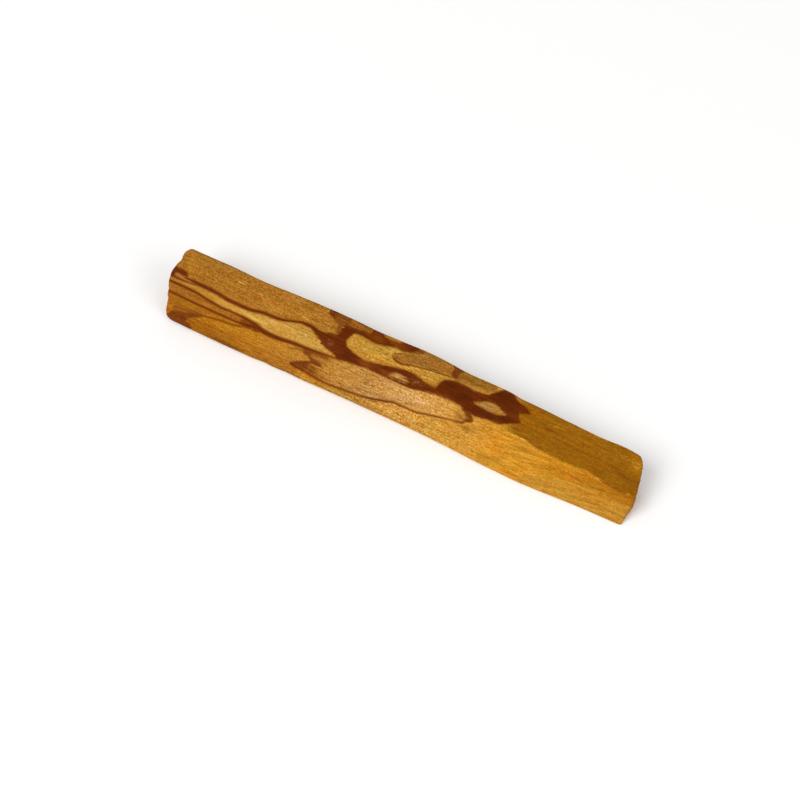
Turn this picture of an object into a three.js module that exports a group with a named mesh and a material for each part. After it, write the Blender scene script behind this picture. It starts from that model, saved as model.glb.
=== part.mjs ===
// A palo santo stick: one short length split and whittled from a log, lying on its flat underside.
// Millimetres, +Z up. The stick runs along X, the side that a person looks at faces -Y.
import * as THREE from 'three';
import { mergeVertices } from 'three/addons/utils/BufferGeometryUtils.js';

// Length of the stick between its two cut ends
const LENGTH = 100;
const HALF = LENGTH / 2;

// Ridges between the split and whittled faces, each from the left end to the right end.
// A point is how far along the stick it lies, how far back and how high.
const TOP_BACK = [
  [-50, 5.6, 10.1], [-40, 5.6, 10.2], [-31, 5.3, 10.2], [-20, 5.9, 10.1], [-14, 6.1, 10.0], [-6, 5.9, 9.9],
  [4, 6.3, 9.7], [12, 5.8, 9.6], [19, 5.9, 9.5], [24, 5.7, 9.2], [39, 5.3, 8.6], [46, 5.7, 8.3],
  [50, 5.6, 8.1],
];
const TOP_RIDGE = [
  [-50, -2.3, 10.9], [-27, -2.2, 10.6], [-16, -2.5, 10.3], [-6, -2.8, 9.9], [3, -2.9, 9.4], [12, -2.1, 8.7],
  [22, -0.8, 7.7], [26, -1.3, 7.2], [31, -1.6, 6.7], [37, -1.5, 6.3], [41, -1.2, 6.0], [46, -2.0, 5.4],
  [50, -1.7, 5.0],
];
const FRONT_RIDGE = [
  [-50, -4.3, 5.9], [-30, -4.6, 5.6], [-12, -4.7, 5.4], [3, -5.0, 5.0], [15, -5.0, 4.7], [22, -5.6, 3.4],
  [28, -5.9, 2.3], [31.5, -5.1, 3.3], [34.5, -4.6, 3.7], [38, -3.6, 4.2], [43, -3.0, 4.3], [50, -2.5, 4.0],
];
const FRONT_FOOT = [
  [-50, -6.3, 0], [-39, -6.5, 0], [-29, -6.5, 0], [-22, -6.3, 0], [-11, -6.1, 0], [7, -6.1, 0],
  [15, -6.4, 0], [24, -6.5, 0], [30, -6.6, 0], [41, -6.1, 0], [50, -5.9, 0],
];
const BACK_FOOT = [[-50, 4.5, 0], [-27, 4.1, 0], [-6, 5.2, 0], [14, 5.4, 0], [33, 4.3, 0], [50, 3.2, 0]];
const BACK_RIDGE = [
  [-50, 5.9, 5.6], [-34, 5.2, 4.4], [-14, 6.1, 4.0], [2, 6.6, 4.7], [17, 6.2, 5.6], [34, 5.3, 4.9],
  [50, 4.6, 4.2],
];

// Each corner of the stick's section, going round from the back over the top: its ridge, how far it is
// rounded where it is sharp and where it is worn, and how many steps the face after it takes
const CORNERS = [
  { ridge: TOP_BACK, sharp: 0.4, worn: 0.9, steps: 9 },
  { ridge: TOP_RIDGE, sharp: 0.2, worn: 2.8, steps: 8 },
  { ridge: FRONT_RIDGE, sharp: 0.5, worn: 1.8, steps: 8 },
  { ridge: FRONT_FOOT, sharp: 0.5, worn: 1.1, steps: 9 },
  { ridge: BACK_FOOT, sharp: 0.6, worn: 1.3, steps: 7 },
  { ridge: BACK_RIDGE, sharp: 0.9, worn: 1.8, steps: 6 },
];

// How much closer the steps lie at the corners than in the middle of a face
const CORNER_GATHER = 0.45;

// The ridges are worn round from the left end up to here, and sharp beyond, where the stick was whittled
const WORN_TO = 12;
const SHARP_FROM = 24;

// Furrows that the grain left when the wood was split
const FURROW_SPACING = 2.7;
const FURROW_DEPTH = 0.07;
const FURROW_WANDER = 0.9;
const FURROW_WANDER_LENGTH = 31;
const FURROW_FADE = 0.4;
const FURROW_FADE_LENGTH = 15;
const FURROW_TURN = 0.4;
const SWELL_HEIGHT = 0.12;
const SWELL_LENGTH = 17;
const SWELL_TURN = 0.55;
const FLAT_HEIGHT = 1.2;

// Nicks knocked out of the ridges: place along the stick, which corner, half length and depth
const NICKS = [
  { at: -27.4, corner: 3, reach: 1.6, depth: 0.28 },
  { at: -22.4, corner: 3, reach: 1.3, depth: 0.2 },
  { at: 23.4, corner: 0, reach: 1.8, depth: 0.12 },
  { at: 43.2, corner: 1, reach: 1.9, depth: 0.22 },
  { at: -34.5, corner: 5, reach: 4.2, depth: 0.5 },
  { at: 11.5, corner: 4, reach: 5.5, depth: 0.45 },
  { at: -8.0, corner: 5, reach: 3.0, depth: 0.35 },
  { at: 49.2, corner: 1, reach: 1.3, depth: 0.4 },
];

// The cut ends: how far each stands beyond the stick's length and how it leans towards the back and upwards
const LEFT_END = { beyond: 0.4, perBack: 0.05, perUp: 0 };
const RIGHT_END = { beyond: 0.55, perBack: -0.25, perUp: 0.03 };
const END_BLEND = 6;

// Torn grain on the ends: how deep, how wide its hollows are and how much they wander
const TEAR_DEPTH = 0.16;
const TEAR_WIDTH = 1.4;
const TEAR_HEIGHT = 1.8;
const TEAR_START = 0.4;
const TEAR_WANDER = 0.6;
const TEAR_WANDER_HEIGHT = 2.9;

// The small round at the edges of the ends
const EDGE_ROUND = 0.3;

// Corners of the ends that are worn off or broken, and small notches in their edges: which end, the place
// on it, how far around that place the wood is gone and how deep
const WORN_CORNERS = [
  { side: -1, back: 6.0, up: 10.3, reach: 1.9, depth: 0.9 },
  { side: -1, back: 1.4, up: 10.9, reach: 1.7, depth: 0.6 },
  { side: -1, back: -2.4, up: 11.2, reach: 1.5, depth: 0.4 },
  { side: -1, back: -5.0, up: 3.9, reach: 2.4, depth: 0.25 },
  { side: -1, back: -6.6, up: -0.3, reach: 2.2, depth: 1.5 },
  { side: 1, back: 5.9, up: 8.6, reach: 2.6, depth: 1.1 },
  { side: 1, back: -6.2, up: -0.2, reach: 6.0, depth: 1.65 },
  { side: 1, back: -2.5, up: 4.0, reach: 1.5, depth: 0.3 },
  { side: 1, back: -3.9, up: 2.4, reach: 0.9, depth: 0.35 },
];

// Spacing of the skin's rows along the stick and its rings across each cut end
const ROWS = 80;
const END_RINGS = [0.4, 0.72, 0.9];
const RIM_SIZE = 0.975;
const GATHER = 0.017;

const WOOD = new THREE.MeshStandardMaterial({ color: 0xc08a3e, roughness: 0.72, metalness: 0 });

function smoothStep(from, to, value) {
  return THREE.MathUtils.smoothstep(value, from, to);
}

function bump(distance, reach) {
  const share = Math.min(1, Math.abs(distance) / reach);
  return (1 - share * share) ** 2;
}

function spline(ridge) {
  const across = new THREE.SplineCurve(ridge.map(([x, y]) => new THREE.Vector2(x, y)));
  const height = new THREE.SplineCurve(ridge.map(([x, , z]) => new THREE.Vector2(x, z)));
  return { stations: ridge.map(([x]) => x), across, height };
}

// The ridge's place at one station along the stick, as (back, up)
function ridgeAt({ stations, across, height }, x) {
  const last = stations.length - 2;
  const found = stations.findIndex((station, index) => index <= last && x <= stations[index + 1]);
  const span = found < 0 ? last : found;
  const within = THREE.MathUtils.clamp((x - stations[span]) / (stations[span + 1] - stations[span]), 0, 1);
  const share = (span + within) / (last + 1);
  return new THREE.Vector2(across.getPoint(share).y, height.getPoint(share).y);
}

const RIDGES = CORNERS.map(({ ridge }) => spline(ridge));

function wear(x) {
  return 1 - smoothStep(WORN_TO, SHARP_FROM, x);
}

// The section's corners at one station, moved in towards the middle where a nick is
function cornersAt(x) {
  const corners = RIDGES.map((ridge) => ridgeAt(ridge, x));
  const middle = new THREE.Vector2();
  for (const corner of corners) middle.addScaledVector(corner, 1 / corners.length);
  for (const nick of NICKS) {
    const corner = corners[nick.corner];
    const inward = middle.clone().sub(corner).normalize();
    if (corner.y === 0) inward.y = 0;
    corner.addScaledVector(inward, nick.depth * bump(x - nick.at, nick.reach));
  }
  return { corners, middle };
}

// One rounded corner, as its middle point and the points where the two faces run into it
function roundedCorner(corners, index, x) {
  const { sharp, worn } = CORNERS[index];
  const corner = corners[index];
  const radius = THREE.MathUtils.lerp(sharp, worn, wear(x));
  const towards = (other) => corner.clone().add(other.clone().sub(corner).setLength(radius));
  const start = towards(corners.at(index - 1));
  const end = towards(corners[(index + 1) % corners.length]);
  const crest = new THREE.QuadraticBezierCurve(start, corner, end).getPoint(0.5);
  return { start, corner, end, crest };
}

// One face of the section, from the crest of its first corner to the crest of the next
function facePath(from, to) {
  const path = new THREE.CurvePath();
  path.add(new THREE.QuadraticBezierCurve(from.crest, from.corner.clone().lerp(from.end, 0.5), from.end));
  path.add(new THREE.LineCurve(from.end, to.start));
  path.add(new THREE.QuadraticBezierCurve(to.start, to.start.clone().lerp(to.corner, 0.5), to.crest));
  return path;
}

// The closed outline of the section at one station, before the grain's relief
function outlineAt(x) {
  const { corners, middle } = cornersAt(x);
  const rounded = corners.map((corner, index) => roundedCorner(corners, index, x));
  const outline = CORNERS.flatMap(({ steps }, index) => {
    const path = facePath(rounded[index], rounded[(index + 1) % rounded.length]);
    return Array.from({ length: steps }, (unused, step) => {
      const share = step / steps;
      return path.getPoint(share - CORNER_GATHER * Math.sin(share * 2 * Math.PI) / (2 * Math.PI));
    });
  });
  return { outline, middle };
}

// How far the skin stands out at a place, from the furrows of the grain and the swell of the split faces
function reliefAt(x, around) {
  const wander = FURROW_WANDER * Math.sin(x / FURROW_WANDER_LENGTH * Math.PI + around * FURROW_TURN);
  const furrow = FURROW_DEPTH * Math.cos((around + wander) / FURROW_SPACING * 2 * Math.PI);
  const fade = 1 - FURROW_FADE * (1 - Math.sin(x / FURROW_FADE_LENGTH * Math.PI + around));
  const swell = SWELL_HEIGHT * Math.sin(x / SWELL_LENGTH * Math.PI + around * SWELL_TURN);
  return furrow * fade + swell;
}

// The outline with the grain's relief; the underside stays flat so that the stick lies still
function grownOutlineAt(x) {
  const { outline, middle } = outlineAt(x);
  let around = 0;
  const grown = outline.map((point, index) => {
    const before = outline.at(index - 1);
    const after = outline[(index + 1) % outline.length];
    around += point.distanceTo(before);
    const outward = new THREE.Vector2(after.y - before.y, before.x - after.x).normalize();
    const free = smoothStep(0, FLAT_HEIGHT, point.y);
    return point.clone().addScaledVector(outward, free * reliefAt(x, around));
  });
  return { outline: grown, middle };
}

// Places on the torn grain of an end that stand out or lie back a little
function tearAt(back, up) {
  const wander = TEAR_WANDER * Math.sin(up / TEAR_WANDER_HEIGHT * Math.PI);
  const hollow = Math.sin(back / TEAR_WIDTH * Math.PI + wander);
  return TEAR_DEPTH * hollow * Math.cos(up / TEAR_HEIGHT * Math.PI + TEAR_START);
}

// How far an end's cut stands out along the stick, beyond a square cut at its length
function endOffset(side, back, up) {
  const end = side < 0 ? LEFT_END : RIGHT_END;
  let offset = end.beyond + end.perBack * back + end.perUp * up + tearAt(back, up);
  for (const worn of WORN_CORNERS.filter((corner) => corner.side === side)) {
    const distance = Math.hypot(back - worn.back, up - worn.up);
    offset -= worn.depth * bump(distance, worn.reach);
  }
  return offset;
}

// Every row of the skin: the left end's rings out to its rim, the length of the stick, the right end's rings
function skinRows() {
  const rows = [{ x: -HALF, size: 0 }];
  for (const size of END_RINGS) rows.push({ x: -HALF, size });
  rows.push({ x: -HALF, size: RIM_SIZE });
  for (let row = 0; row <= ROWS; row += 1) {
    const even = row / ROWS;
    const gathered = even + GATHER * Math.sin(even * 2 * Math.PI);
    rows.push({ x: THREE.MathUtils.lerp(-HALF + EDGE_ROUND, HALF - EDGE_ROUND, gathered), size: 1 });
  }
  rows.push({ x: HALF, size: RIM_SIZE });
  for (const size of [...END_RINGS].reverse()) rows.push({ x: HALF, size });
  rows.push({ x: HALF, size: 0 });
  return rows;
}

// One closed skin: a lathe's mesh whose rows are laid on the stick's sections
function stickSkin() {
  const rows = skinRows();
  const columns = CORNERS.reduce((sum, corner) => sum + corner.steps, 0);
  const sections = rows.map(({ x }) => grownOutlineAt(x));
  const profile = rows.map(({ x, size }) => new THREE.Vector2(size, x));
  const skin = new THREE.LatheGeometry(profile, columns);
  const place = skin.attributes.position;
  for (let index = 0; index < place.count; index += 1) {
    const { x, size } = rows[index % rows.length];
    const { outline, middle } = sections[index % rows.length];
    const column = Math.floor(index / rows.length) % columns;
    const spot = middle.clone().lerp(outline[column], size);
    const side = Math.sign(x);
    const share = 1 - Math.min(1, (HALF - Math.abs(x)) / END_BLEND);
    place.setXYZ(index, x + side * share * endOffset(side, spot.x, spot.y), spot.x, spot.y);
  }
  skin.deleteAttribute('normal');
  skin.deleteAttribute('uv');
  return mergeVertices(skin, 0.0001);
}

// Stands the skin on the ground with the middle of its box over the origin
function centred(geometry) {
  geometry.computeBoundingBox();
  const middle = geometry.boundingBox.getCenter(new THREE.Vector3());
  geometry.translate(-middle.x, -middle.y, -geometry.boundingBox.min.z);
  geometry.computeVertexNormals();
  return geometry;
}

const stick = new THREE.Mesh(centred(stickSkin()), WOOD);
stick.name = 'palo_santo_stick';

const group = new THREE.Group();
group.name = 'palo_santo_stick_set';
group.add(stick);

export default group;
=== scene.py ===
import math

import bmesh
import bpy
import numpy as np
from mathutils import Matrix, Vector, noise


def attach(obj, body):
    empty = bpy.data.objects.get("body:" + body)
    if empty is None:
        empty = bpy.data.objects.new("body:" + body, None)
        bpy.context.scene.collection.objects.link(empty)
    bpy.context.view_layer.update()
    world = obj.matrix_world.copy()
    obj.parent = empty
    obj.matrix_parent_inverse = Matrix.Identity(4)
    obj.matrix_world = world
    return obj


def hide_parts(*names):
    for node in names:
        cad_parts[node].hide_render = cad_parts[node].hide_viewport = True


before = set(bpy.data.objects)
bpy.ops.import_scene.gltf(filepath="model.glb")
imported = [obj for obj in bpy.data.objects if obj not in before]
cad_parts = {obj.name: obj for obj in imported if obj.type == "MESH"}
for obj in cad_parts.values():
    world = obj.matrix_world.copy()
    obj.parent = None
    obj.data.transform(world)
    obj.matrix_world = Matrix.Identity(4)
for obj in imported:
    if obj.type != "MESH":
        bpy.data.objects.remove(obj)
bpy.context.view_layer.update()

MM = 0.001

# The camera: where it looks from and at, and its lens
VIEW_AZIMUTH = math.radians(28.88)
VIEW_HEIGHT = math.radians(56)
VIEW_DISTANCE = 471.6 * MM
VIEW_AIM = Vector((1.21, -2.52, 3.12)) * MM
LENS = 110
SENSOR = 36

# The dark layers run through the wood aslant, from the looked-at faces down to the back. A place in the
# wood is measured along the stick, across its layers towards the front, and deep along them.
HEART_PLACE = (-0.11, -0.15, 5.0)
ACROSS_FRONT = 0.861
ACROSS_DOWN = 0.509
SLANT = 0.279


def place_camera():
    """The camera at the photograph's angle."""
    lens = bpy.data.cameras.new("camera")
    lens.lens = LENS
    lens.sensor_width = SENSOR
    lens.clip_start = 0.01
    camera = bpy.data.objects.new("camera", lens)
    bpy.context.scene.collection.objects.link(camera)
    level = math.cos(VIEW_HEIGHT)
    back = Vector((math.sin(VIEW_AZIMUTH) * level, -math.cos(VIEW_AZIMUTH) * level, math.sin(VIEW_HEIGHT)))
    camera.location = VIEW_AIM + back * VIEW_DISTANCE
    camera.rotation_euler = (-back).to_track_quat("-Z", "Y").to_euler()
    bpy.context.scene.camera = camera


def linear(channel):
    """One 0 to 255 screen channel as the light that it stands for."""
    share = channel / 255
    if share <= 0.04045:
        return share / 12.92
    return ((share + 0.055) / 1.055) ** 2.4


def tone(red, green, blue):
    """A screen colour as a shader colour."""
    return (linear(red), linear(green), linear(blue), 1.0)


class Wire:
    """A socket of a material. Python's operators add the Math nodes that work on its value."""

    def __init__(self, material, socket):
        self.material = material
        self.socket = socket

    def _math(self, operation, first, second=0.0):
        return self.material.node("ShaderNodeMath", {"operation": operation}, {0: first, 1: second})

    def __add__(self, other):
        return self._math("ADD", self, other)

    def __radd__(self, other):
        return self._math("ADD", other, self)

    def __sub__(self, other):
        return self._math("SUBTRACT", self, other)

    def __rsub__(self, other):
        return self._math("SUBTRACT", other, self)

    def __mul__(self, other):
        return self._math("MULTIPLY", self, other)

    def __rmul__(self, other):
        return self._math("MULTIPLY", other, self)

    def __truediv__(self, other):
        return self._math("DIVIDE", self, other)

    def __rtruediv__(self, other):
        return self._math("DIVIDE", other, self)

    def __pow__(self, other):
        return self._math("POWER", self, other)

    def __abs__(self):
        return self._math("ABSOLUTE", self)

    def least(self, other):
        """The smaller of two values."""
        return self._math("MINIMUM", self, other)

    def most(self, other):
        """The larger of two values."""
        return self._math("MAXIMUM", self, other)

    def rise(self, low, high):
        """0 below low, 1 above high and smooth between them."""
        settings = {"interpolation_type": "SMOOTHSTEP"}
        values = {"Value": self, "From Min": low, "From Max": high}
        return self.material.node("ShaderNodeMapRange", settings, values)

    def curve(self, points):
        """The height of a smooth curve through points of (value, height), level beyond its ends."""
        return self.material.node("ShaderNodeFloatCurve", {"points": points}, {"Value": self})


class Material:
    """A node material."""

    def __init__(self, name):
        self.data = bpy.data.materials.new(name)
        self.data.use_nodes = True
        self.tree = self.data.node_tree
        self.tree.nodes.clear()

    def node(self, kind, settings=None, values=None, output=0):
        """Adds a node: its settings first, then the values or wires of its sockets."""
        node = self.tree.nodes.new(kind)
        for name, setting in (settings or {}).items():
            if name == "points":
                self._set_points(node.mapping, setting)
            else:
                setattr(node, name, setting)
        for key, value in (values or {}).items():
            if isinstance(value, Wire):
                self.tree.links.new(value.socket, node.inputs[key])
            else:
                node.inputs[key].default_value = value
        return Wire(self, node.outputs[output]) if len(node.outputs) else node

    @staticmethod
    def _set_points(mapping, points):
        mapping.use_clip = False
        mapping.extend = "HORIZONTAL"
        line = mapping.curves[0]
        while len(line.points) < len(points):
            line.points.new(0.0, 0.0)
        for point, place in zip(line.points, sorted(points)):
            point.location = place
            point.handle_type = "AUTO_CLAMPED"
        mapping.update()

    def kept(self, name, output="Fac"):
        """A value, vector or colour that is kept on the piece's own skin."""
        return self.node("ShaderNodeAttribute", {"attribute_name": name}, None, output)

    def vector(self, x, y, z):
        """Three values as a vector."""
        return self.node("ShaderNodeCombineXYZ", None, {0: x, 1: y, 2: z})

    def split(self, vector):
        """A vector's three values."""
        parts = self.node("ShaderNodeSeparateXYZ", None, {0: vector})
        return [Wire(self, socket) for socket in parts.socket.node.outputs]

    def mix(self, factor, first, second, blend="MIX"):
        """One colour laid over another."""
        settings = {"data_type": "RGBA", "blend_type": blend}
        return self.node("ShaderNodeMix", settings, {0: factor, 6: first, 7: second}, output=2)

    def cloud(self, vector, detail=2.0, roughness=0.5, distortion=0.0):
        """Noise around 0, mostly between -0.3 and 0.3."""
        values = {
            "Vector": vector, "Scale": 1.0, "Detail": detail, "Roughness": roughness,
            "Distortion": distortion,
        }
        return self.node("ShaderNodeTexNoise", None, values) - 0.5


# The dark veins, in millimetres along and across the wood: the line, its half width, where it starts and
# ends, and how long its tapered ends are
UPPER_VEIN = [
    (-52.0, -1.45), (-48.2, -1.35), (-44.6, -1.25), (-41.5, -1.15), (-37.9, -0.8), (-34.3, -0.8),
    (-31.0, -1.35), (-27.1, -1.6), (-24.2, -2.4), (-22.5, -2.8), (-21.0, -2.8), (-18.6, -2.3),
]
SECOND_VEIN = [
    (-52.0, 0.4), (-46.3, 0.4), (-43.5, 0.7), (-41.6, 0.9), (-39.0, 1.1), (-36.9, 1.0), (-33.3, 1.12),
    (-29.7, 1.85), (-27.4, 2.0), (-22.9, 1.6), (-18.3, 1.3), (-12.6, 0.7),
]
THIRD_VEIN = [(-52.0, 2.3), (-44.5, 2.45), (-35.3, 2.4), (-31.1, 1.85)]
SWEEP = [
    (-22.0, 5.35), (-20.5, 5.55), (-18.4, 5.7), (-16.0, 5.9), (-14.1, 6.05), (-12.3, 6.0), (-10.6, 5.8),
    (-7.0, 5.5), (-5.2, 5.3), (-0.7, 4.3), (1.0, 3.9), (4.6, 3.9), (7.6, 3.35), (12.3, 2.4), (14.5, 2.0),
    (15.5, 1.5),
]
LENS_RIM = [(-3.7, -4.2), (-2.8, -3.65), (-1.4, -3.4), (0.4, -3.85), (3.5, -4.4), (6.2, -4.75), (9.8, -5.15)]
DARK_VEINS = [
    (
        UPPER_VEIN,
        [(-48.0, 0.14), (-44.0, 0.32), (-38.0, 0.32), (-32.0, 0.27), (-28.0, 0.26), (-24.0, 0.18),
         (-21.5, 0.28)],
        -49.5, -17.2, 1.2,
    ),
    (
        SECOND_VEIN,
        [(-48.0, 0.19), (-41.6, 0.19), (-37.0, 0.12), (-33.0, 0.26), (-29.5, 0.42), (-23.5, 0.31),
         (-18.0, 0.18), (-13.5, 0.08)],
        -53.0, -11.6, 2.0,
    ),
    (THIRD_VEIN, [(-48.0, 0.15), (-36.0, 0.16), (-32.0, 0.24)], -53.0, -30.4, 1.0),
    (
        [(-50.6, -0.5), (-49.4, -0.65), (-48.0, -0.68), (-46.4, -0.85), (-43.8, -1.2)],
        [(-49.2, 0.14), (-48.0, 0.09), (-45.0, 0.06)], -51.4, -43.0, 1.4,
    ),
    (
        SWEEP,
        [(-22.0, 0.18), (-20.0, 0.12), (-16.0, 0.08), (-9.0, 0.08), (-2.0, 0.16), (4.0, 0.08), (8.6, 0.11),
         (12.5, 0.04), (15.0, 0.12)],
        -22.5, 15.4, 0.9,
    ),
]

# Weaker brown veins, with how dark they are
FAINT_VEINS = [
    (
        [(-46.5, 4.0), (-42.9, 4.0), (-38.5, 3.45), (-35.4, 3.15), (-32.6, 2.5)],
        [(-46.0, 0.08), (-42.0, 0.16), (-36.0, 0.14)], -48.0, -31.6, 3.0, 0.85,
    ),
    ([(-23.4, 2.7), (-22.7, 2.6), (-21.2, 2.2), (-20.3, 2.3)], 0.1, -24.0, -19.8, 1.0, 0.7),
    (LENS_RIM, [(-3.5, 0.2), (-0.5, 0.18), (2.0, 0.06), (6.0, 0.07)], -4.1, 10.4, 1.0, 0.9),
    ([(-3.8, -4.3), (-2.6, -5.0), (-1.4, -5.6)], 0.1, -4.0, -0.8, 0.8, 0.7),
    (
        [(44.1, -1.65), (45.1, -1.5), (46.5, -1.25), (47.6, -1.25), (49.3, -1.4), (51.0, -1.5)],
        0.16, 43.6, 53.0, 1.2, 0.45,
    ),
    ([(28.0, -2.2), (31.0, -2.6), (35.0, -2.4), (38.0, -2.7)], 0.08, 27.4, 38.6, 1.6, 0.25),
    ([(41.0, 5.8), (47.5, 5.6), (52.0, 5.8)], 0.12, 40.0, 53.0, 3.0, 0.35),
    ([(37.0, 2.45), (40.0, 2.75), (43.0, 2.8), (45.0, 2.6)], 0.15, 36.6, 46.0, 1.5, 0.35),
]

# Orange streaks in the grain, with how strong they are
ORANGE_STREAKS = [
    (
        [(34.4, 4.0), (36.2, 3.3), (37.8, 3.1), (40.0, 2.9), (44.5, 2.7)],
        [(34.4, 0.2), (36.0, 0.4), (37.6, 0.25), (39.5, 0.1)], 33.6, 41.0, 1.4, 0.55,
    ),
    ([(-43.0, -4.3), (-38.0, -3.8), (-35.5, -4.0)], 0.2, -43.4, -35.0, 2.0, 0.3),
    ([(26.5, -5.0), (29.0, -5.2), (31.4, -5.0)], 0.12, 26.2, 31.8, 1.4, 0.12),
    ([(-7.0, 6.6), (-5.0, 6.5), (-1.5, 6.4)], 0.12, -7.2, -1.0, 1.0, 0.25),
]

# Light lines along the whittled ridge, partly worn wood and partly a painted highlight of the edge catching
# the light: where they start and end
RIDGE_WEAR_AND_HIGHLIGHT = [(21.0, 31.0), (36.5, 49.0)]

# How far beside a vein its soft edge reaches
VEIN_EDGE = 0.18

# Outlines of the broad dark heart, of the light places within it and of the other dark shapes
HEART = [
    (-21.2, -2.9), (-19.4, -2.7), (-18.0, -2.75), (-17.0, -3.1), (-15.8, -3.3), (-15.2, -4.2),
    (-14.9, -5.2), (-14.8, -5.9), (-13.9, -6.0), (-12.2, -6.0), (-10.7, -6.15), (-9.5, -6.2),
    (-9.0, -7.2), (-7.2, -7.3), (-6.5, -6.9), (-4.9, -6.7), (-3.4, -6.9), (-1.9, -7.4), (0.4, -7.6),
    (0.6, -6.8), (-1.9, -6.0), (-3.5, -5.9), (-4.7, -5.6), (-6.4, -5.2), (-8.2, -4.95), (-9.7, -5.15),
    (-11.2, -5.2), (-12.4, -5.1), (-12.9, -4.2), (-13.3, -3.3), (-13.2, -2.7), (-12.5, -2.05),
    (-11.3, -1.6), (-10.0, -1.3), (-8.6, -1.1), (-6.9, -1.2), (-4.3, -1.75), (-1.6, -2.4), (0.4, -2.65),
    (1.9, -2.6), (3.1, -2.35), (5.2, -1.95), (6.7, -1.85), (7.0, -2.2), (7.2, -3.0), (7.6, -3.6),
    (8.3, -4.2), (10.2, -4.7), (12.4, -4.65), (14.8, -4.6), (16.6, -4.75), (17.5, -5.3), (18.3, -6.1),
    (19.5, -6.9), (21.4, -7.0), (22.6, -6.2), (24.0, -5.8), (25.1, -5.4), (26.0, -4.9), (24.8, -4.4),
    (23.8, -4.0), (24.3, -3.2), (24.7, -2.4), (22.9, -1.55), (21.1, -0.65), (18.7, -0.5), (15.6, -0.15),
    (13.8, -0.4), (12.6, -0.85), (10.6, -0.9), (8.2, -0.85), (6.2, -0.65), (4.6, -0.35), (2.7, 0.1),
    (0.2, 0.2), (-2.5, 0.2), (-4.6, 0.2), (-6.8, 0.1), (-9.0, 0.3), (-11.3, 0.5), (-13.3, 0.9),
    (-14.1, 0.4), (-14.9, 0.1), (-15.7, -0.05), (-16.5, -0.2), (-17.4, -0.7), (-18.4, -1.4),
    (-19.8, -2.0),
]
FIRST_EYE = [
    (-2.6, -0.55), (-1.9, -1.05), (-0.7, -1.55), (0.4, -1.5), (1.4, -1.1), (1.1, -0.5), (-0.6, -0.15),
    (-2.1, -0.2),
]
SECOND_EYE = [
    (14.8, -2.6), (15.9, -3.0), (17.0, -3.55), (18.2, -3.9), (19.4, -3.7), (20.8, -3.2), (21.8, -2.75),
    (21.0, -2.35), (18.8, -2.05), (16.5, -2.1), (15.1, -2.3),
]
KNOT = [
    (-52.5, -2.5), (-50.6, -2.5), (-49.6, -2.55), (-48.8, -2.4), (-48.4, -2.05), (-48.3, -1.7),
    (-49.2, -1.55), (-50.3, -1.6), (-50.9, -1.4), (-50.9, -1.0), (-50.4, -0.8), (-49.8, -0.8),
    (-49.6, -0.55), (-50.3, -0.4), (-52.5, -0.6),
]
BROWN_LENS = [
    (-3.8, -4.4), (-2.9, -3.7), (-1.5, -3.45), (0.4, -3.85), (3.5, -4.4), (6.2, -4.75), (9.2, -5.15),
    (9.8, -5.6), (9.9, -6.6), (10.4, -7.8), (1.6, -7.8), (0.2, -6.5), (-1.6, -5.6),
]

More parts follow.
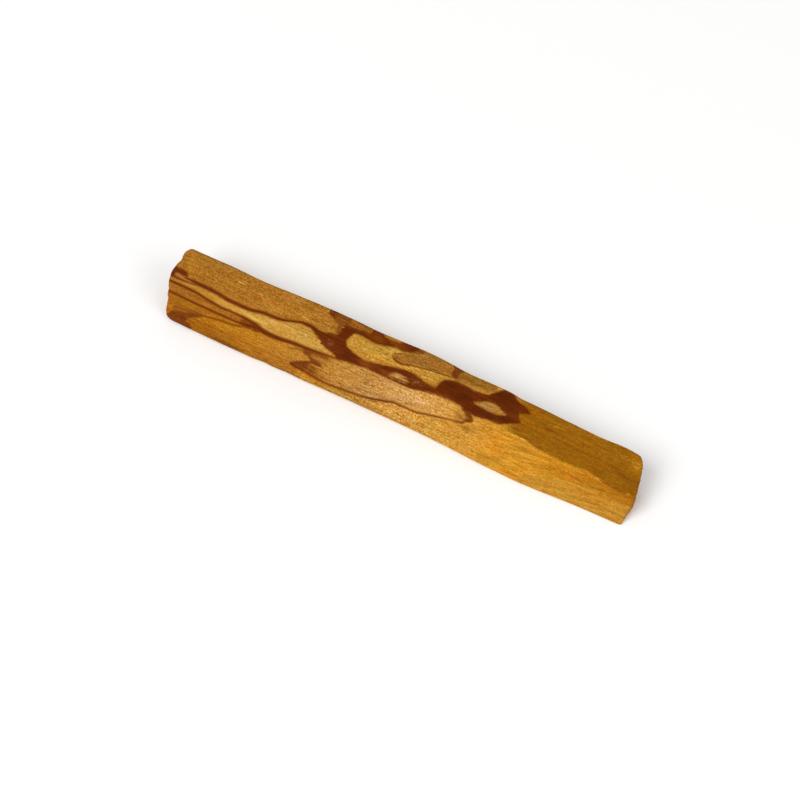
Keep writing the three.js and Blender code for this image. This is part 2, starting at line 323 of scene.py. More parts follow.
# Brown shapes: outline, how far the brown fades beyond it, and how dark it is
BROWN_SHAPES = [
    (
        [(-49.2, 5.9), (-48.2, 5.45), (-47.2, 5.2), (-45.8, 4.9), (-44.8, 4.55), (-43.8, 4.15),
         (-42.9, 3.95), (-42.2, 4.1), (-42.6, 4.5), (-43.4, 4.85), (-44.1, 5.2), (-44.8, 5.55),
         (-45.2, 6.0), (-45.7, 6.7),
         (-47.5, 6.6), (-49.2, 7.0)],
        0.25, 0.9,
    ),
    ([(-49.8, 6.6), (-47.0, 6.6), (-44.4, 6.6), (-44.0, 8.2), (-49.8, 8.2)], 0.3, 0.85),
    ([(-48.4, 4.4), (-44.8, 4.1), (-42.9, 3.9), (-44.5, 4.7), (-48.4, 5.4)], 0.8, 0.55),
    ([(-49.5, 2.8), (-41.0, 2.9), (-38.5, 3.2), (-49.0, 3.9)], 0.6, 0.28),
    ([(-47.0, -3.0), (-36.0, -2.6), (-33.0, -1.2), (-47.0, -1.6)], 0.7, 0.3),
    ([(-9.5, 5.0), (-6.5, 4.0), (-3.0, 3.5), (0.5, 3.3), (0.5, 3.9), (-3.0, 4.7)], 0.6, 0.4),
    (
        [(-34.6, 1.9), (-34.2, 1.6), (-33.4, 1.25), (-32.2, 1.15), (-31.0, 1.2), (-30.2, 1.6), (-30.2, 2.3),
         (-30.8, 2.5), (-32.0, 2.4), (-33.1, 2.55), (-34.2, 2.3)],
        0.7, 0.95,
    ),
    (
        [(-20.3, 1.6), (-19.6, 1.45), (-19.0, 1.4), (-18.7, 1.8), (-18.9, 2.2), (-18.0, 2.8), (-16.7, 3.0),
         (-16.0, 3.15), (-16.2, 3.5), (-17.4, 3.5), (-18.0, 3.4), (-18.4, 3.1), (-19.2, 2.7), (-20.3, 2.3)],
        0.5, 0.8,
    ),
    ([(-18.6, 1.2), (-16.0, 0.8), (-15.0, 2.6), (-15.8, 3.6), (-18.4, 2.6)], 0.8, 0.38),
    (
        [(-18.0, 3.4), (-19.1, 3.65), (-20.1, 4.2), (-21.2, 4.65), (-22.1, 5.3), (-21.2, 5.55), (-21.0, 5.1),
         (-20.0, 4.7), (-19.0, 4.1), (-18.0, 3.8)],
        0.25, 0.65,
    ),
    (
        [(-18.6, 3.7), (-20.1, 4.25), (-21.9, 5.2), (-20.6, 5.7), (-18.8, 5.7), (-18.3, 4.8)],
        0.4, 0.8,
    ),
    ([(-22.0, 1.7), (-18.0, 1.5), (-14.5, 1.1), (-14.3, 1.6), (-18.0, 2.1), (-22.0, 2.1)], 0.5, 0.45),
    ([(-18.6, 3.8), (-19.2, 4.8), (-18.8, 5.7), (-17.0, 5.8), (-16.8, 5.0), (-17.2, 4.1)], 0.5, 0.5),
    ([(-17.4, 4.2), (-15.5, 4.8), (-13.9, 5.6), (-15.5, 5.9), (-17.4, 5.8)], 0.8, 0.4),
    ([(8.8, -6.0), (15.4, -6.2), (17.0, -5.4), (15.4, -4.9), (9.6, -5.0)], 0.4, 0.46),
    ([(-18.8, -8.2), (-18.8, -6.7), (-18.0, -6.3), (-17.3, -6.6), (-17.1, -8.2)], 0.4, 0.95),
    (
        [(-17.5, -6.8), (-16.4, -7.8), (-14.4, -7.8), (-14.3, -6.2), (-15.0, -5.6), (-16.4, -5.5),
         (-17.4, -5.9)],
        0.8, 0.66,
    ),
    ([(-15.6, -5.4), (-16.1, -4.8), (-15.9, -3.4), (-15.0, -3.2), (-14.6, -4.4)], 0.5, 0.6),
    (
        [(13.2, -0.6), (14.8, -0.3), (15.8, 0.3), (16.2, 1.1), (15.0, 1.5), (14.4, 1.9), (14.9, 0.9),
         (14.4, 0.2)],
        0.45, 0.95,
    ),
    ([(12.6, 0.2), (14.4, 0.4), (14.6, 1.4), (13.4, 2.1), (12.8, 1.4)], 1.2, 0.45),
    (
        [(-5.0, -6.6), (-3.4, -6.9), (-1.9, -7.6), (1.7, -7.7), (1.7, -6.8), (0.3, -6.3), (-0.9, -5.8),
         (-2.2, -5.7), (-3.6, -6.0)],
        0.35, 0.65,
    ),
    (
        [(8.6, -8.0), (8.6, -6.6), (8.7, -5.7), (9.4, -5.2), (9.9, -5.4), (10.0, -6.3), (10.9, -7.1),
         (11.6, -8.0)],
        0.35, 0.85,
    ),
    ([(-7.0, -8.2), (-6.6, -7.0), (-5.0, -6.7), (-3.0, -6.8), (-2.2, -8.2)], 0.4, 0.4),
    ([(-9.6, -8.2), (-9.2, -7.3), (-10.8, -6.9), (-12.4, -7.2), (-13.0, -8.2)], 0.3, 0.35),
    ([(15.5, 2.2), (18.5, 2.2), (18.5, 3.2), (15.5, 3.2)], 0.7, 0.3),
    ([(20.0, 7.4), (20.0, 6.2), (23.0, 4.4), (25.5, 4.4), (25.0, 5.6), (22.5, 7.2)], 0.7, 0.29),
    ([(27.0, 1.5), (31.0, 1.6), (31.0, 2.4), (27.0, 2.4)], 0.6, 0.29),
    ([(10.5, 3.0), (14.5, 2.4), (16.5, 3.0), (14.5, 4.0), (10.5, 4.0)], 0.6, 0.28),
    ([(-7.0, 6.3), (-3.5, 6.3), (-3.5, 7.2), (-7.0, 7.2)], 0.4, 0.32),
    ([(-6.0, 1.6), (-1.0, 1.6), (-1.0, 2.6), (-6.0, 2.9)], 0.7, 0.26),
    ([(1.0, 2.3), (7.2, 1.9), (7.8, 2.6), (6.5, 3.3), (1.4, 3.4)], 0.5, 0.29),
    ([(-9.0, 2.5), (-5.8, 2.5), (-5.8, 3.7), (-9.0, 3.9)], 0.6, 0.29),
    ([(5.2, -2.2), (6.8, -3.4), (8.0, -4.4), (8.6, -3.0), (8.0, -2.0)], 0.6, 0.4),
]

# Where the heart's edge frays out along the grain, as oval places
FRAYED = [
    (-16.0, -4.6, 3.6, 3.0), (-17.4, -1.2, 2.8, 1.4), (-0.6, -0.9, 3.2, 1.1), (15.0, 0.8, 2.0, 1.6),
]

# How coarse the grain is along the stick
COARSE_GRAIN = [
    (-50, 1.8), (-36, 1.9), (-24, 1.9), (-14, 2.3), (0, 2.5), (12, 2.2), (22, 1.8), (36, 1.7), (50, 1.6),
]

# The whittled ridges at the right, where the colour changes; the olive above the upper ridge is partly the
# wood's colour and partly painted shade
OLIVE_EDGE = [
    (19.0, -0.9), (21.3, -0.6), (23.1, -0.1), (26.8, 0.0), (29.4, 0.6), (35.0, 0.7), (38.6, 0.6),
    (40.7, 0.5), (41.9, 0.7), (43.4, 1.15), (45.2, 1.45), (47.3, 1.65), (51.0, 1.8),
]
TAN_EDGE = [(26.9, 7.2), (28.6, 6.15), (32.0, 5.3), (35.5, 4.3), (38.9, 3.4), (44.0, 3.0), (51.0, 3.0)]

# Oval places: where along and across, half size along and across
BROWN_SPOTS = [
    (-33.7, -5.9, 0.8, 0.25), (-28.4, 6.1, 1.6, 0.6), (-26.9, 6.9, 1.4, 0.5), (-36.0, 7.2, 9.0, 1.0),
    (30.5, -3.6, 3.0, 0.5), (35.0, -2.6, 2.6, 0.35), (28.0, -6.0, 1.6, 0.4), (47.0, -1.6, 3.5, 0.7),
    (22.6, 3.3, 1.6, 0.25), (24.5, -1.2, 2.5, 0.6),
]
PORES = [(-4.7, 2.7, 0.6, 0.3), (-12.3, 5.75, 0.4, 0.2), (-21.8, -0.6, 0.5, 0.15), (3.0, 3.0, 0.5, 0.12)]
# Painted highlight: whitish spots on the rounded middle, where light glints off the ridge
PAINTED_HIGHLIGHT_SPOTS = [(5.4, 1.7, 1.9, 0.45), (5.0, 1.7, 3.4, 0.9)]
GOLDEN_SPOTS = [
    (48.6, -4.2, 2.6, 1.6), (46.0, -4.8, 3.0, 0.9), (49.3, 1.2, 1.2, 0.8), (-18.4, -4.6, 2.2, 1.4),
    (26.5, 0.0, 4.0, 0.35), (43.0, 0.9, 4.0, 0.35), (-38.0, -5.0, 4.0, 1.0), (32.0, -4.9, 3.0, 0.7),
    (-23.0, -3.9, 3.4, 0.9), (40.0, -6.4, 8.0, 0.8), (-48.0, -3.0, 1.8, 0.8),
]
DEEP_SPOTS = [
    (19.3, -5.6, 5.5, 2.4), (-11.6, -0.5, 3.4, 1.1), (9.5, -3.4, 2.4, 1.4), (22.0, -1.9, 3.0, 1.2),
    (17.0, -1.3, 6.0, 1.4), (12.5, -2.8, 4.0, 2.0),
]
LIT_SPOTS = [
    (-7.7, -0.5, 2.4, 0.9), (-7.8, -6.1, 3.0, 1.4), (-3.7, -0.6, 1.8, 0.6), (-3.8, -6.6, 3.6, 1.0),
]
LIGHT_SPOTS = [
    (-6.0, -2.6, 4.0, 1.1), (-23.0, -4.0, 4.0, 1.1), (5.5, 4.7, 4.5, 1.0), (0.0, 5.7, 5.0, 0.8),
    (38.0, -6.7, 11.0, 1.0), (48.6, -4.6, 2.6, 3.0), (-48.8, -4.0, 1.6, 2.6), (-49.2, 5.6, 1.2, 1.2),
    (-29.0, -3.4, 5.5, 0.9), (38.0, 1.6, 5.0, 0.8), (23.5, 1.6, 4.0, 0.9), (-1.9, -4.8, 1.8, 0.8),
    (29.0, 6.5, 2.6, 0.7), (-32.0, 0.4, 5.0, 0.5), (-1.0, -3.1, 3.4, 0.8), (6.6, 4.4, 2.4, 0.5),
    (43.6, 3.9, 3.6, 0.8),
]
SPECKLED_SPOTS = [(3.0, -1.3, 5.0, 1.8), (-1.5, -0.6, 4.0, 1.3), (-16.0, -1.4, 2.4, 1.6)]
WARM_SPOTS = [
    (-38.2, -3.7, 1.4, 0.8), (-38.7, -2.6, 2.0, 0.6), (36.2, 3.5, 3.0, 0.6), (-5.2, 6.8, 2.4, 0.5),
    (4.2, 6.6, 2.4, 0.5), (7.4, -6.3, 2.5, 1.0), (-34.0, 5.6, 4.0, 1.2), (-28.0, -4.6, 4.0, 0.8),
    (40.0, 1.6, 6.0, 0.7), (24.0, 0.6, 5.0, 0.6), (30.0, 3.0, 6.0, 1.0), (-45.3, 6.3, 0.8, 0.6),
]
ROSY_SPOTS = [(-50.2, -1.25, 2.6, 0.7), (-47.2, -1.05, 3.6, 0.4)]
SHADED_SPOTS = [(42.5, -0.4, 3.4, 1.6), (49.6, -0.6, 3.0, 2.6), (34.0, -1.4, 4.0, 1.0)]

# Colours of the wood between its veins, as they look in plain light, and where along the stick
FRONT_TONES = [
    (-50, tone(160, 98, 18)), (-40, tone(166, 105, 16)), (-30, tone(176, 113, 26)),
    (-14, tone(174, 118, 42)), (2, tone(200, 152, 82)), (12, tone(200, 143, 60)), (22, tone(197, 135, 36)),
    (29, tone(196, 135, 36)), (36, tone(184, 122, 24)), (50, tone(164, 101, 12)),
]
UPPER_LEFT = tone(168, 110, 34)
LENS_PALE = tone(187, 139, 58)
VEIN_BROWN = tone(154, 96, 28)
LENS_GOLD = tone(189, 137, 49)
LENS_BROWN = tone(150, 96, 32)
TOP_BROWN = tone(144, 84, 22)
HEART_SIDE = tone(146, 98, 28)
EYE_TAN = tone(184, 134, 70)
SECOND_EYE_TAN = tone(172, 127, 60)
LOW_GOLD = tone(186, 130, 32)
# Olive of the upper whittled facet: partly the wood's own colour, partly painted shade of a facet turned
# away from the light
OLIVE_WITH_PAINTED_SHADE = tone(143, 90, 8)
OLIVE_SHADE = tone(124, 76, 6)
TAN = tone(181, 127, 40)

# Colours of the figure and of the marks
DARK_HEART = tone(96, 38, 3)
DARK_STREAK = tone(118, 56, 16)
DARK_LIT = tone(130, 64, 10)
DARK_SPECKLE = tone(138, 82, 40)
DARK_EDGE = tone(138, 73, 0)
HALF_DARK = tone(110, 54, 10)
WARM = tone(200, 114, 20)
PALE_FLECK_AND_HIGHLIGHT = tone(236, 190, 124)
GOLDEN = tone(198, 142, 40)
ROSY = tone(180, 106, 60)
WORN_AND_HIGHLIT_EDGE = tone(222, 164, 72)
DEEPEST = tone(76, 28, 2)
PORE = tone(104, 56, 12)
END_BROWN = tone(160, 108, 46)

# Short sides between two points of an outline, when it is made smooth
OUTLINE_STEPS = 5
TINY = 1e-9


def gentle(value, low, high):
    """0 below low, 1 above high and smooth between them."""
    share = np.clip((value - low) / (high - low), 0.0, 1.0)
    return share * share * (3 - 2 * share)


def smooth_outline(points):
    """A smooth closed line through an outline's points."""
    here = np.array(points)
    before = np.roll(here, 1, axis=0)
    after = np.roll(here, -1, axis=0)
    beyond = np.roll(here, -2, axis=0)
    share = (np.arange(OUTLINE_STEPS) / OUTLINE_STEPS)[:, None, None]
    bend = 2 * before - 5 * here + 4 * after - beyond
    twist = 3 * here - before - 3 * after + beyond
    line = here + ((after - before) * share + bend * share ** 2 + twist * share ** 3) / 2
    return line.transpose(1, 0, 2).reshape(-1, 2)


class Figure:
    """Shapes in the wood, worked out for many places at once that are given along and across it."""

    def __init__(self, along, across):
        self.along = along
        self.across = across

    def inside(self, outline):
        """How far inside an outline each place is, in millimetres, and less than 0 outside it."""
        starts = smooth_outline(outline)
        nearest = np.full(len(self.along), np.inf)
        within = np.zeros(len(self.along), bool)
        for (from_along, from_across), (to_along, to_across) in zip(starts, np.roll(starts, -1, axis=0)):
            run = to_along - from_along
            climb = to_across - from_across
            ahead = self.along - from_along
            aside = self.across - from_across
            share = np.clip((ahead * run + aside * climb) / (run * run + climb * climb + TINY), 0.0, 1.0)
            nearest = np.minimum(nearest, np.hypot(ahead - run * share, aside - climb * share))
            passes = (from_across > self.across) != (to_across > self.across)
            within ^= passes & (ahead < aside * run / (climb or TINY))
        return np.where(within, nearest, -nearest)

    def line(self, points):
        """How far across the wood a line lies beside each place."""
        return np.interp(self.along, *zip(*points))

    def above(self, points):
        """How far above a line each place is."""
        return self.line(points) - self.across

    def stretch(self, start, end, fade):
        """1 between two places along the stick, fading to 0 at both."""
        return gentle(np.minimum(self.along - start, end - self.along), 0.0, fade)

    def spots(self, spots):
        """1 in the middle of oval spots, fading to 0 at their rims."""
        most = np.zeros(len(self.along))
        for along, across, half_along, half_across in spots:
            apart = np.hypot((self.along - along) / half_along, (self.across - across) / half_across)
            most = np.maximum(most, 1.0 - gentle(apart, 0.0, 1.0))
        return most

    def heart(self):
        """How far inside the dark heart each place is."""
        heart = np.minimum(self.inside(HEART), -self.inside(SECOND_EYE))
        heart = np.minimum(heart, -self.inside(FIRST_EYE) * 0.5)
        return np.maximum(heart, self.inside(KNOT))

    def half_dark(self):
        """How strongly each place is half dark, from 0 to 1."""
        light = 1.0 - self.spots(BROWN_SPOTS) * 0.6
        for outline, fade, strength in BROWN_SHAPES:
            light *= 1.0 - gentle(self.inside(outline), -fade, 0.25) * strength
        return 1.0 - light

    def left_lens(self):
        """1 in the pale lens between the two veins at the left, fading to 0 at its rims."""
        lens = gentle(np.minimum(-self.above(UPPER_VEIN), self.above(SECOND_VEIN)), -0.05, 0.3)
        return lens * (1.0 - gentle(self.along, -16.0, -13.0))

    def ground(self):
        """The colour of the wood between its veins at each place."""
        places, colours = zip(*FRONT_TONES)
        ground = np.stack([np.interp(self.along, places, channel) for channel in zip(*colours)], -1)

        def lay(share, colour):
            nonlocal ground
            ground += (np.array(colour) - ground) * share[:, None]

        above_upper = self.above(UPPER_VEIN)
        above_second = self.above(SECOND_VEIN)
        # Painted shade: the lower front at the left darkens towards the bottom, where it turns from the
        # light
        low = gentle(self.across, 4.0, 7.0) * (1.0 - gentle(self.along, -8.0, 8.0))
        lay(low * 0.3, HALF_DARK)
        lay(gentle(above_upper, -0.1, 0.3) * (1.0 - gentle(self.along, -19.0, -15.0)), UPPER_LEFT)
        lay(self.left_lens() * (0.5 + 0.5 * gentle(self.along, -46.0, -32.0)), LENS_PALE)
        brown = gentle(np.minimum(-above_second, 2.45 - self.across), -0.05, 0.3)
        lay(brown * (1.0 - gentle(self.along, -32.0, -30.0)) * 0.9, VEIN_BROWN)
        lay(gentle(-0.8 - self.across, 0.0, 0.8) * self.stretch(-15.0, 25.0, 3.0), LENS_GOLD)
        lay(gentle(-4.9 - self.across, 0.0, 1.2) * self.stretch(9.0, 19.0, 1.5), HEART_SIDE)
        lay(gentle(self.inside(BROWN_LENS), -0.05, 0.3) * 0.9, LENS_BROWN)
        lay(gentle(-5.9 - self.across, 0.0, 0.4) * self.stretch(-15.0, -8.6, 1.0) * 0.95, TOP_BROWN)
        lay(gentle(self.inside(FIRST_EYE), -0.3, 0.1), EYE_TAN)
        lay(gentle(self.inside(SECOND_EYE), -0.3, 0.1), SECOND_EYE_TAN)
        lay(gentle(-self.above(SWEEP), -0.1, 0.6) * self.stretch(-23.0, 18.0, 5.0) * 0.55, LOW_GOLD)
        # The upper whittled facet turns olive, darkened partly by painted shade
        lay(gentle(self.above(OLIVE_EDGE), -0.1, 0.1) * gentle(self.along, 20.5, 25.0), OLIVE_WITH_PAINTED_SHADE)
        lay(gentle(-self.above(TAN_EDGE), -0.15, 0.6) * gentle(self.along, 27.0, 30.0) * 0.9, TAN)
        lay(self.spots(SHADED_SPOTS) * 0.6, OLIVE_SHADE)
        ground *= 1.0 + self.spots(LIGHT_SPOTS)[:, None] * 0.25
        lay(self.spots(ROSY_SPOTS), ROSY)
        return ground

    def coarseness(self):
        """How strongly the grain shows at each place."""
        strength = np.interp(self.along, *zip(*COARSE_GRAIN))
        upper_left = gentle(self.above(UPPER_VEIN), 0.0, 1.0) * (1.0 - gentle(self.along, -20.0, -14.0))
        strength *= 1.0 + 0.3 * upper_left - 0.2 * self.left_lens()
        strength *= 1.0 + 0.35 * gentle(self.across, 3.0, 5.5) * self.stretch(-25.0, 18.0, 6.0)
        olive = gentle(self.above(OLIVE_EDGE), -0.1, 0.1) * gentle(self.along, 20.5, 25.0)
        return strength * (1.0 - 0.2 * olive - 0.2 * self.flamed())

    def flamed(self):
        """How strongly the whittled golden face shows its slanting, flame-like layers at each place."""
        return gentle(-self.above(OLIVE_EDGE), 0.0, 0.8) * gentle(self.along, 16.0, 25.0)

    def feathered(self):
        """How far the heart's edge frays along the grain at each place."""
        return 0.2 + self.spots(FRAYED) * 1.5


def vein(along, across, points, half, start, end, fade):
    """How far inside a vein a place is. The vein tapers away at its two ends."""
    width = along.curve(half) if isinstance(half, list) else half
    taper = (along - start).least(end - along).rise(0.0, fade)
    return (VEIN_EDGE + width) * taper - VEIN_EDGE - abs(across - along.curve(points))


def wood_material():
    """Heartwood: dark figure on gold, olive and tan, with grain, pores and a dull sheen."""
    wood = Material("palo_santo_wood")
    along, across, hidden = wood.split(wood.kept("figure_place", "Vector"))
    coarse = wood.kept("coarseness")
    place = wood.node("ShaderNodeTexCoord", None, None, output="Object")
    x, y, z = [part / MM for part in wood.split(place)]

    # Grain: long streaks, short dashes, speckle and pores
    streak = wood.cloud(wood.vector(x * 0.09, y * 1.3, z * 1.3), 3.0, 0.6, 0.6)
    fibre = wood.cloud(wood.vector(x * 0.3, y * 3.0, z * 3.0), 3.0, 0.7)
    dash = wood.cloud(wood.vector(x * 1.0, y * 3.2, z * 3.2), 2.0, 0.7)
    speckle = wood.cloud(wood.vector(x * 2.7, y * 3.4, z * 3.4), 3.0, 0.8)
    hue = wood.cloud(wood.vector(x * 0.16, y * 0.6, z * 0.6), 2.0, 0.6)
    layers = wood.vector(along * 0.1, across * 1.5 + along * 0.3, hidden)
    flame = wood.cloud(layers, 2.0, 0.6, 0.4) * wood.kept("flamed") * 0.8
    pore = wood.cloud(wood.vector(x * 1.0, y * 8.0, z * 8.0), 1.0, 0.4).rise(0.16, 0.24)

    frayed = wood.cloud(wood.vector(x * 0.4, y * 2.6, z * 2.6), 3.0, 0.6)
    edge = dash * 0.45 + fibre * 0.35 + speckle * 0.2
    dark = wood.kept("heart") + edge * 1.5 + frayed * wood.kept("feathered") * 2.0
    for line in DARK_VEINS:
        dark = dark.most(vein(along, across + edge * 0.35, *line) + edge * 0.4)
    half_dark = wood.kept("half_dark")
    half_dark = (half_dark + (edge + frayed) * 1.1 * half_dark.rise(0.02, 0.4)).rise(0.08, 0.95)
    for *line, strength in FAINT_VEINS:
        faint = vein(along, across + edge * 0.4, *line) + edge * 0.5
        half_dark = half_dark.most(faint.rise(-0.2, 0.1) * strength)

    # Warm and pale flecks break up along the grain; the pale colour also lays a painted highlight on the
    # rounded middle
    colour = wood.kept("ground", "Color")
    warm = (wood.kept("warm") * 0.5 + fibre + hue).rise(0.2, 0.75)
    colour = wood.mix(warm * 0.45, colour, WARM)
    fleck = fibre * 0.8 + dash + speckle * 0.6
    colour = wood.mix((wood.kept("pale") * 0.85 + fleck).rise(0.35, 0.8) * 0.6, colour, PALE_FLECK_AND_HIGHLIGHT)
    colour = wood.mix((wood.kept("golden") * 0.5 + fleck).rise(0.25, 0.7) * 0.6, colour, GOLDEN)
    for *line, strength in ORANGE_STREAKS:
        streaked = vein(along, across + edge * 0.4, *line) + edge * 0.5
        colour = wood.mix(streaked.rise(-0.2, 0.1) * strength, colour, WARM)
    # Painted highlight along the ridge's edge, together with its wear
    for start, end in RIDGE_WEAR_AND_HIGHLIGHT:
        worn_and_highlit = vein(along, across - 0.12 + edge * 0.5, OLIVE_EDGE, 0.05, start, end, 2.0) + edge * 0.6
        colour = wood.mix(worn_and_highlit.rise(-0.15, 0.15) * 0.5, colour, WORN_AND_HIGHLIT_EDGE)
    colour = wood.mix(half_dark, colour, HALF_DARK)
    colour = wood.mix(dark.rise(-0.48, 0.0) * 0.5, colour, DARK_EDGE)
    heart = wood.mix((fibre + streak + 0.1).rise(0.0, 0.5) * 0.55, DARK_HEART, DARK_STREAK)
    heart = wood.mix(wood.kept("lit") * 0.8, heart, DARK_LIT)
    heart = wood.mix(wood.kept("deep") * 0.7, heart, DEEPEST)
    speckled = (speckle + dash + wood.kept("speckled") * 0.6 - 0.4).rise(0.0, 0.35)
    heart = wood.mix(speckled * 0.7, heart, DARK_SPECKLE)
    figure = dark.rise(-0.22, 0.18)
    colour = wood.mix(figure, colour, heart)

    calm = 1.0 - figure * 0.5
    fine = (fibre * 0.4 + dash * 0.4 + speckle * 0.86) * coarse * calm
    light = (1.0 + (streak * 0.5 + flame) * calm + fine).most(0.35)
    grey = (1.0 + fine * (1.0 - figure)).most(0.35)
    warmth = hue * 0.7 - flame * 0.3
    green = light ** 1.2 * grey ** 0.3 - warmth * 0.3
    blue = light ** 1.7 * grey ** 1.8 - warmth
    channels = {0: light + warmth * 0.3, 1: green, 2: blue}
    shade = wood.node("ShaderNodeCombineColor", None, channels)
    colour = wood.mix(1.0, colour, shade, "MULTIPLY")
    colour = wood.mix((pore * 0.3 + wood.kept("pores")).least(1.0) * (1.0 - figure), colour, PORE)

    # The cut ends drink the light: end grain is browner and dull
    end_cut = wood.kept("end_cut")
    colour = wood.mix(end_cut * 0.35, colour, END_BROWN)

    roughness = 0.66 - speckle * 0.3 + end_cut * 0.15 - figure * 0.05 + pore * 0.1
    height = speckle * 0.5 * coarse + dash * 0.6 + fibre * 0.4 - pore * 0.6
    bump = wood.node("ShaderNodeBump", None, {"Strength": 0.6, "Distance": 0.07 * MM, "Height": height})
    skin = {"Base Color": colour, "Roughness": roughness, "Normal": bump, "IOR": 1.42}
    shader = wood.node("ShaderNodeBsdfPrincipled", None, {**skin, "Specular IOR Level": 0.04})
    wood.node("ShaderNodeOutputMaterial", None, {"Surface": shader})
    return wood.data


# The relief of the faces, in millimetres
MERGE = 0.001 * MM
FURROW_DEPTH = 0.06
FIBRE_DEPTH = 0.035
SCOOP_DEPTH = 0.09
TORN_DEPTH = 0.11


def smooth(low, high, value):
    """0 below low, 1 above high and smooth between them."""
    share = min(1.0, max(0.0, (value - low) / (high - low)))
    return share * share * (3 - 2 * share)


def relief(place, normal):
    """How far the skin stands out at a place, in millimetres."""
    x, y, z = place
    furrow = noise.noise(Vector((x * 0.07, y * 1.3, z * 1.3)))
    fibre = noise.noise(Vector((x * 0.3, y * 2.7, z * 2.7 + 20)))
    scoop = noise.noise(Vector((x * 0.09, y * 0.35 + 7, z * 0.35)))
    side = FURROW_DEPTH * furrow + FIBRE_DEPTH * fibre + SCOOP_DEPTH * scoop
    torn = noise.noise(Vector((y * 1.6, z * 1.6, x * 0.2)))
    torn += 0.5 * noise.noise(Vector((y * 4.1, z * 4.1, 3)))
    end = smooth(0.5, 0.8, abs(normal.x))
    return side * (1 - end) + TORN_DEPTH * torn * end


def keep(mesh, name, values, kind="FLOAT"):
    """Keeps values on the skin for its material."""
    field = {"FLOAT": "value", "FLOAT_VECTOR": "vector", "FLOAT_COLOR": "color"}[kind]
    mesh.attributes.new(name, kind, "POINT").data.foreach_set(field, values.astype(np.float32).ravel())


def draw_figure(mesh):
    """Works out the figure's place and shapes over the skin. On hidden faces the figure wanders off."""
    beside, back, high = (np.array([vertex.co / MM for vertex in mesh.vertices]) - HEART_PLACE).T
    facing = np.array([vertex.normal for vertex in mesh.vertices]).T
    across = back * -ACROSS_FRONT - high * ACROSS_DOWN
    deep = high * ACROSS_FRONT - back * ACROSS_DOWN
    along = beside - deep * SLANT
    hidden = gentle(0.1 - across * 0.17 - deep, 1.3, 5.0)
    places = zip(along * 0.05, across * 0.12, deep * 0.12)
    wander = np.array([noise.noise_vector(Vector(place)) for place in places])
    along = along + wander[:, 0] * hidden * 9.0
    across = across + wander[:, 1] * hidden * 2.4
    figure = Figure(along, across)
    keep(mesh, "figure_place", np.stack([along, across, hidden], -1), "FLOAT_VECTOR")
    keep(mesh, "heart", figure.heart())
    keep(mesh, "half_dark", figure.half_dark())
    keep(mesh, "speckled", figure.spots(SPECKLED_SPOTS))
    keep(mesh, "lit", figure.spots(LIT_SPOTS))
    keep(mesh, "pores", figure.spots(PORES))
    # Where the pale colour lays a painted highlight on the rounded middle
    keep(mesh, "pale", figure.spots(PAINTED_HIGHLIGHT_SPOTS))
    keep(mesh, "warm", figure.spots(WARM_SPOTS))
    keep(mesh, "golden", figure.spots(GOLDEN_SPOTS))
    keep(mesh, "deep", figure.spots(DEEP_SPOTS))
    keep(mesh, "coarseness", figure.coarseness())
    keep(mesh, "feathered", figure.feathered())
    keep(mesh, "flamed", figure.flamed())
    keep(mesh, "ground", figure.ground(), "FLOAT_COLOR")
    keep(mesh, "end_cut", gentle(np.abs(facing[0]), 0.55, 0.85))


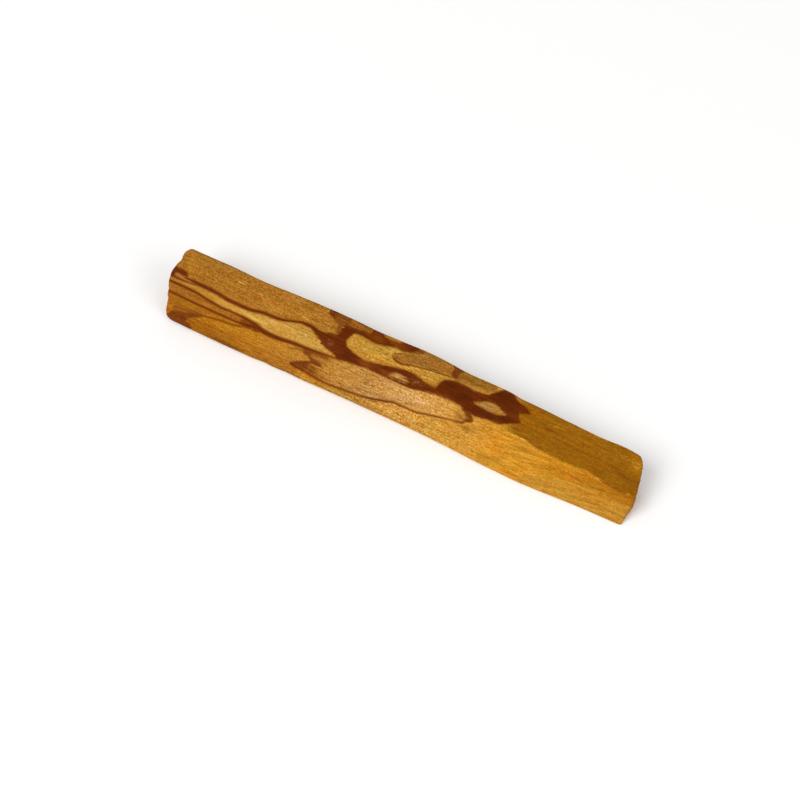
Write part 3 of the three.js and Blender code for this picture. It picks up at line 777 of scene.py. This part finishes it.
def wood_piece(node, material):
    """The stick's skin: the solid's own surface, rounded, with the relief of split and cut wood."""
    skin = bmesh.new()
    skin.from_mesh(node.data)
    bmesh.ops.remove_doubles(skin, verts=skin.verts, dist=MERGE)
    bmesh.ops.join_triangles(
        skin, faces=skin.faces, angle_face_threshold=math.radians(60), angle_shape_threshold=math.radians(90)
    )
    mesh = bpy.data.meshes.new("rounded")
    skin.to_mesh(mesh)
    skin.free()
    piece = bpy.data.objects.new("palo_santo_wood", mesh)
    bpy.context.scene.collection.objects.link(piece)
    rounding = piece.modifiers.new("rounding", "SUBSURF")
    rounding.levels = 2
    rounding.render_levels = 2
    bpy.context.view_layer.update()
    rounded = piece.evaluated_get(bpy.context.evaluated_depsgraph_get())
    piece.data = bpy.data.meshes.new_from_object(rounded)
    piece.data.name = "palo_santo_wood"
    piece.modifiers.clear()
    normals = [vertex.normal.copy() for vertex in piece.data.vertices]
    for vertex, normal in zip(piece.data.vertices, normals):
        place = vertex.co / MM
        free = smooth(0.0, 0.7, place.z)
        moved = place + normal * relief(place, normal) * free
        vertex.co = Vector((moved.x, moved.y, max(0.0, moved.z))) * MM
    piece.data.polygons.foreach_set("use_smooth", [True] * len(piece.data.polygons))
    draw_figure(piece.data)
    piece.data.materials.clear()
    piece.data.materials.append(material)
    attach(piece, "root")
    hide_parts(node.name)
    return piece


def lay_floor():
    """A plain pale floor."""
    sheet = bmesh.new()
    bmesh.ops.create_grid(sheet, x_segments=1, y_segments=1, size=4.0)
    mesh = bpy.data.meshes.new("floor")
    sheet.to_mesh(mesh)
    sheet.free()
    floor = bpy.data.objects.new("floor", mesh)
    bpy.context.scene.collection.objects.link(floor)
    pale = Material("pale_floor")
    matt = {"Base Color": tone(252, 252, 251), "Roughness": 0.9}
    cover = pale.node("ShaderNodeBsdfPrincipled", None, matt)
    pale.node("ShaderNodeOutputMaterial", None, {"Surface": cover})
    mesh.materials.append(pale.data)


def hang_lights():
    """Soft studio light: a broad key from the front left, a weaker fill and an even pale surround."""
    world = bpy.data.worlds.new("surround")
    world.use_nodes = True
    world.node_tree.nodes["Background"].inputs["Color"].default_value = (1.0, 1.0, 1.0, 1.0)
    world.node_tree.nodes["Background"].inputs["Strength"].default_value = 0.55
    bpy.context.scene.world = world
    for name, place, size, power in (
        ("key_light", (-0.4, -0.9, 1.2), 1.0, 14.0),
        ("fill_light", (1.1, -0.3, 0.9), 0.9, 4.5),
    ):
        lamp = bpy.data.lights.new(name, "AREA")
        lamp.size = size
        lamp.energy = power
        light = bpy.data.objects.new(name, lamp)
        light.location = place
        light.rotation_euler = (-Vector(place)).to_track_quat("-Z", "Y").to_euler()
        bpy.context.scene.collection.objects.link(light)


bpy.context.scene.view_settings.view_transform = "Standard"
place_camera()
lay_floor()
hang_lights()
wood_piece(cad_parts["palo_santo_stick"], wood_material())
